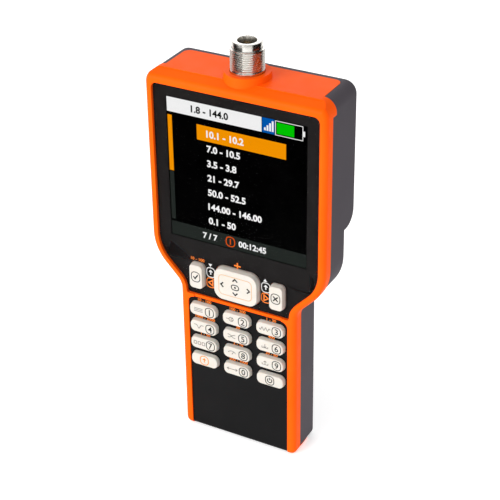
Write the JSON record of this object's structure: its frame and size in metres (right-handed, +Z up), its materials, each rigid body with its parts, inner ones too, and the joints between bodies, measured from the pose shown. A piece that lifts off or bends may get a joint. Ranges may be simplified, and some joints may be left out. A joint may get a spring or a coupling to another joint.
{
  "type": "antenna analyzer",
  "caption": "Handheld antenna analyzer: wide display head on a narrow keypad grip, coaxial socket on top, pressing keys, rocking cursor pad and a sliding battery cover.",
  "frame": {"origin": "centre of the bounding box at the sole, which the analyzer stands on", "axes": "+Z up towards the coaxial socket, -Y out of the display, +X to the viewer's right"},
  "size_m": [0.093, 0.0342, 0.2115],
  "materials": {
    "orange_shell": "fine satin moulded surface",
    "grey_shell": "fine matt moulded surface",
    "window_clear": "clear polished acrylic",
    "mask_ink": "black back print",
    "display_face": "lit display glass",
    "tray_metal": "folded sheet",
    "flex_film": "amber film",
    "black_panel": "satin black",
    "key_cream": "satin cream",
    "steel": "plain",
    "mat_silicone": "matt",
    "board_green": "solder mask",
    "tinned_steel": "bright tin plate",
    "chip_black": "moulded epoxy",
    "tray_black": "matt moulded",
    "cell_sleeve": "printed sleeve",
    "bright_nickel": "bright nickel plate",
    "white_insulator": "turned",
    "gold_contact": "gold plate"
  },
  "bodies": {
    "root": {"front_shell": "orange_shell", "rear_shell": "grey_shell", "display_window": "window_clear", "window_mask": "mask_ink", "display_glass": "display_face", "display_tray": "tray_metal", "display_flex": "flex_film", "keypad_panel": "black_panel", "snap_domes": "steel", "case_screws": "steel", "port_screws": "steel", "contact_plates": "steel", "contact_springs": "steel", "battery_pins": "steel", "keypad_mat": "mat_silicone", "port_gasket": "mat_silicone", "main_board": "board_green", "radio_shield": "tinned_steel", "wireless_module": "tinned_steel", "data_socket": "tinned_steel", "board_chips": "chip_black", "buzzer": "chip_black", "battery_tray": "tray_black", "battery_cell_1": "cell_sleeve", "battery_cell_2": "cell_sleeve", "battery_cell_3": "cell_sleeve", "port_body": "bright_nickel", "port_insulator": "white_insulator", "port_contact": "gold_contact", "port_lead": "gold_contact"},
    "key_1": {"key_1": "key_cream"},
    "key_2": {"key_2": "key_cream"},
    "key_3": {"key_3": "key_cream"},
    "key_4": {"key_4": "key_cream"},
    "key_5": {"key_5": "key_cream"},
    "key_6": {"key_6": "key_cream"},
    "key_7": {"key_7": "key_cream"},
    "key_8": {"key_8": "key_cream"},
    "key_9": {"key_9": "key_cream"},
    "key_function": {"key_function": "key_cream"},
    "key_0": {"key_0": "key_cream"},
    "key_power": {"key_power": "key_cream"},
    "key_check": {"key_check": "key_cream"},
    "key_cross": {"key_cross": "key_cream"},
    "nav_web": {"nav_web": "key_cream"},
    "nav_gimbal": {"nav_gimbal": "steel"},
    "nav_pad": {"nav_pad": "key_cream"},
    "battery_cover": {"battery_cover": "grey_shell"}
  },
  "joints": [
    {"name": "key_1_press", "type": "slide", "parent": "root", "child": "key_1", "axis": [0, 1, 0], "range_m": [0, 0.0006], "stiffness_N_per_m": 1500},
    {"name": "key_2_press", "type": "slide", "parent": "root", "child": "key_2", "axis": [0, 1, 0], "range_m": [0, 0.0006], "stiffness_N_per_m": 1500},
    {"name": "key_3_press", "type": "slide", "parent": "root", "child": "key_3", "axis": [0, 1, 0], "range_m": [0, 0.0006], "stiffness_N_per_m": 1500},
    {"name": "key_4_press", "type": "slide", "parent": "root", "child": "key_4", "axis": [0, 1, 0], "range_m": [0, 0.0006], "stiffness_N_per_m": 1500},
    {"name": "key_5_press", "type": "slide", "parent": "root", "child": "key_5", "axis": [0, 1, 0], "range_m": [0, 0.0006], "stiffness_N_per_m": 1500},
    {"name": "key_6_press", "type": "slide", "parent": "root", "child": "key_6", "axis": [0, 1, 0], "range_m": [0, 0.0006], "stiffness_N_per_m": 1500},
    {"name": "key_7_press", "type": "slide", "parent": "root", "child": "key_7", "axis": [0, 1, 0], "range_m": [0, 0.0006], "stiffness_N_per_m": 1500},
    {"name": "key_8_press", "type": "slide", "parent": "root", "child": "key_8", "axis": [0, 1, 0], "range_m": [0, 0.0006], "stiffness_N_per_m": 1500},
    {"name": "key_9_press", "type": "slide", "parent": "root", "child": "key_9", "axis": [0, 1, 0], "range_m": [0, 0.0006], "stiffness_N_per_m": 1500},
    {"name": "key_function_press", "type": "slide", "parent": "root", "child": "key_function", "axis": [0, 1, 0], "range_m": [0, 0.0006], "stiffness_N_per_m": 1500},
    {"name": "key_0_press", "type": "slide", "parent": "root", "child": "key_0", "axis": [0, 1, 0], "range_m": [0, 0.0006], "stiffness_N_per_m": 1500},
    {"name": "key_power_press", "type": "slide", "parent": "root", "child": "key_power", "axis": [0, 1, 0], "range_m": [0, 0.0006], "stiffness_N_per_m": 1500},
    {"name": "key_check_press", "type": "slide", "parent": "root", "child": "key_check", "axis": [0, 1, 0], "range_m": [0, 0.0006], "stiffness_N_per_m": 1500},
    {"name": "key_cross_press", "type": "slide", "parent": "root", "child": "key_cross", "axis": [0, 1, 0], "range_m": [0, 0.0006], "stiffness_N_per_m": 1500},
    {"name": "nav_press", "type": "slide", "parent": "root", "child": "nav_web", "axis": [0, 1, 0], "range_m": [0, 0.0005], "stiffness_N_per_m": 1500},
    {"name": "nav_rock_up", "type": "hinge", "parent": "nav_web", "child": "nav_gimbal", "pos_m": [0, -0.01345, 0.0907], "axis": [1, 0, 0], "range_deg": [-3, 3], "stiffness_Nm_per_rad": 0.15},
    {"name": "nav_rock_side", "type": "hinge", "parent": "nav_gimbal", "child": "nav_pad", "pos_m": [0, -0.01345, 0.0907], "axis": [0, 0, 1], "range_deg": [-3, 3], "stiffness_Nm_per_rad": 0.15},
    {"name": "battery_cover_slide", "type": "slide", "parent": "root", "child": "battery_cover", "axis": [0, 0, -1], "range_m": [0, 0.058]}
  ]
}
